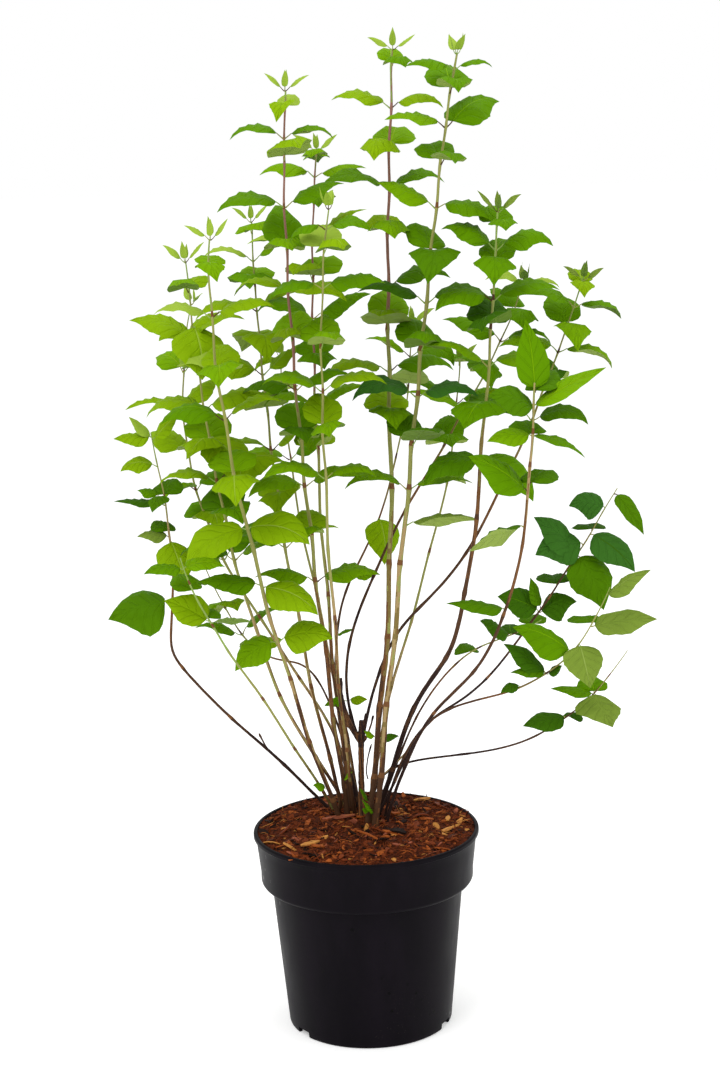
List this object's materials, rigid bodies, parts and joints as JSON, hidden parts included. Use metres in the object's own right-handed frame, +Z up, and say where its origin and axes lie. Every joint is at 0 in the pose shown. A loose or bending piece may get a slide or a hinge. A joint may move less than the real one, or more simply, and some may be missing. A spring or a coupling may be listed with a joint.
{
  "type": "potted mock orange shrub",
  "caption": "Upright many-stemmed mock orange shrub with opposite toothed leaves on slender arching shoots, growing in bark fill in a round black nursery pot.",
  "frame": {"origin": "middle of the pot's flat underside, on the floor", "axes": "+Z up along the pot's axis, -Y towards the front, +X to the right seen from the front"},
  "size_m": [0.5223, 0.3962, 0.997],
  "materials": {
    "pot": "satin",
    "fill": "matte",
    "old_wood": "matte",
    "stem_bark": "satin",
    "leaf_bright": "satin",
    "leaf_deep": "satin"
  },
  "bodies": {
    "root": {"pot": "pot", "fill": "fill", "old_stem": "old_wood", "old_spur": "old_wood", "stem_centre_tall": "stem_bark", "foliage_centre_tall": "leaf_bright", "stem_centre_right": "stem_bark", "foliage_centre_right": "leaf_bright", "stem_left_tall": "stem_bark", "foliage_left_tall": "leaf_bright", "stem_left_behind": "stem_bark", "foliage_left_behind": "leaf_bright", "stem_centre_front": "stem_bark", "foliage_centre_front": "leaf_bright", "stem_left_back": "stem_bark", "foliage_left_back": "leaf_bright", "stem_left_front": "stem_bark", "foliage_left_front": "leaf_bright", "stem_left_mid": "stem_bark", "foliage_left_mid": "leaf_bright", "stem_left_outer_back": "stem_bark", "foliage_left_outer_back": "leaf_bright", "stem_left_arching": "stem_bark", "foliage_left_arching": "leaf_bright", "stem_left_low_front": "stem_bark", "foliage_left_low_front": "leaf_bright", "stem_left_low_back": "stem_bark", "foliage_left_low_back": "leaf_bright", "stem_centre_back": "stem_bark", "foliage_centre_back": "leaf_bright", "stem_right_back": "stem_bark", "foliage_right_back": "leaf_deep", "stem_right_outer": "stem_bark", "foliage_right_outer": "leaf_deep", "stem_right_mid": "stem_bark", "foliage_right_mid": "leaf_deep", "stem_right_front": "stem_bark", "foliage_right_front": "leaf_deep", "stem_right_low_back": "stem_bark", "foliage_right_low_back": "leaf_deep", "stem_right_low_mid": "stem_bark", "foliage_right_low_mid": "leaf_deep", "stem_right_low_front": "stem_bark", "foliage_right_low_front": "leaf_deep", "stem_right_lowest": "stem_bark", "foliage_right_lowest": "leaf_deep", "stem_hind_left": "stem_bark", "foliage_hind_left": "leaf_bright", "stem_hind_right": "stem_bark", "foliage_hind_right": "leaf_bright"}
  },
  "joints": []
}
